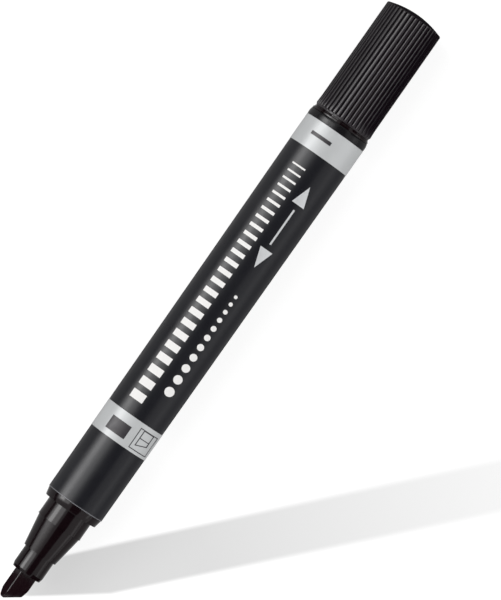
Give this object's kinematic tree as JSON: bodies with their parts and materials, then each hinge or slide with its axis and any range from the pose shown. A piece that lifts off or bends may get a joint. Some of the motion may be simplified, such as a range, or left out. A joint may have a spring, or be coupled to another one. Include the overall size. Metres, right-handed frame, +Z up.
{
  "type": "twin-tip permanent marker",
  "caption": "Permanent marker with a slanted chisel nib bared at its broad end and a fine bullet nib under a ribbed pull-off cap at the other, on a round tapered barrel.",
  "frame": {"origin": "under the middle of the marker, on the surface that it lies on", "axes": "+X along the marker from the chisel nib to the fine cap, +Z up, away from the surface, through the printed side"},
  "size_m": [0.1472, 0.014, 0.014],
  "materials": {
    "barrel_plastic": "glossy black moulding",
    "printed_film": "satin black printed film",
    "silver_foil": "satin silver foil",
    "nozzle_plastic": "glossy black moulding",
    "inked_nib": "pressed fibre, wet with black ink",
    "inked_fibre": "ink-soaked fibre bundle",
    "clear_wrap": "thin clear film",
    "cap_plastic": "semi-gloss black moulding",
    "liner_plastic": "translucent natural moulding"
  },
  "bodies": {
    "marker": {"barrel_tube": "barrel_plastic", "barrel_film": "printed_film", "broad_end_band": "silver_foil", "fine_end_band": "silver_foil", "broad_nozzle": "nozzle_plastic", "broad_nib": "inked_nib", "reservoir_core": "inked_fibre", "reservoir_wrap": "clear_wrap", "fine_nozzle": "nozzle_plastic", "fine_nib": "inked_nib"},
    "fine_cap": {"fine_cap_shell": "cap_plastic", "fine_cap_liner": "liner_plastic"}
  },
  "joints": [
    {"name": "fine_cap_pull", "type": "slide", "parent": "marker", "child": "fine_cap", "axis": [1, 0, 0], "range_m": [0, 0.03]}
  ]
}
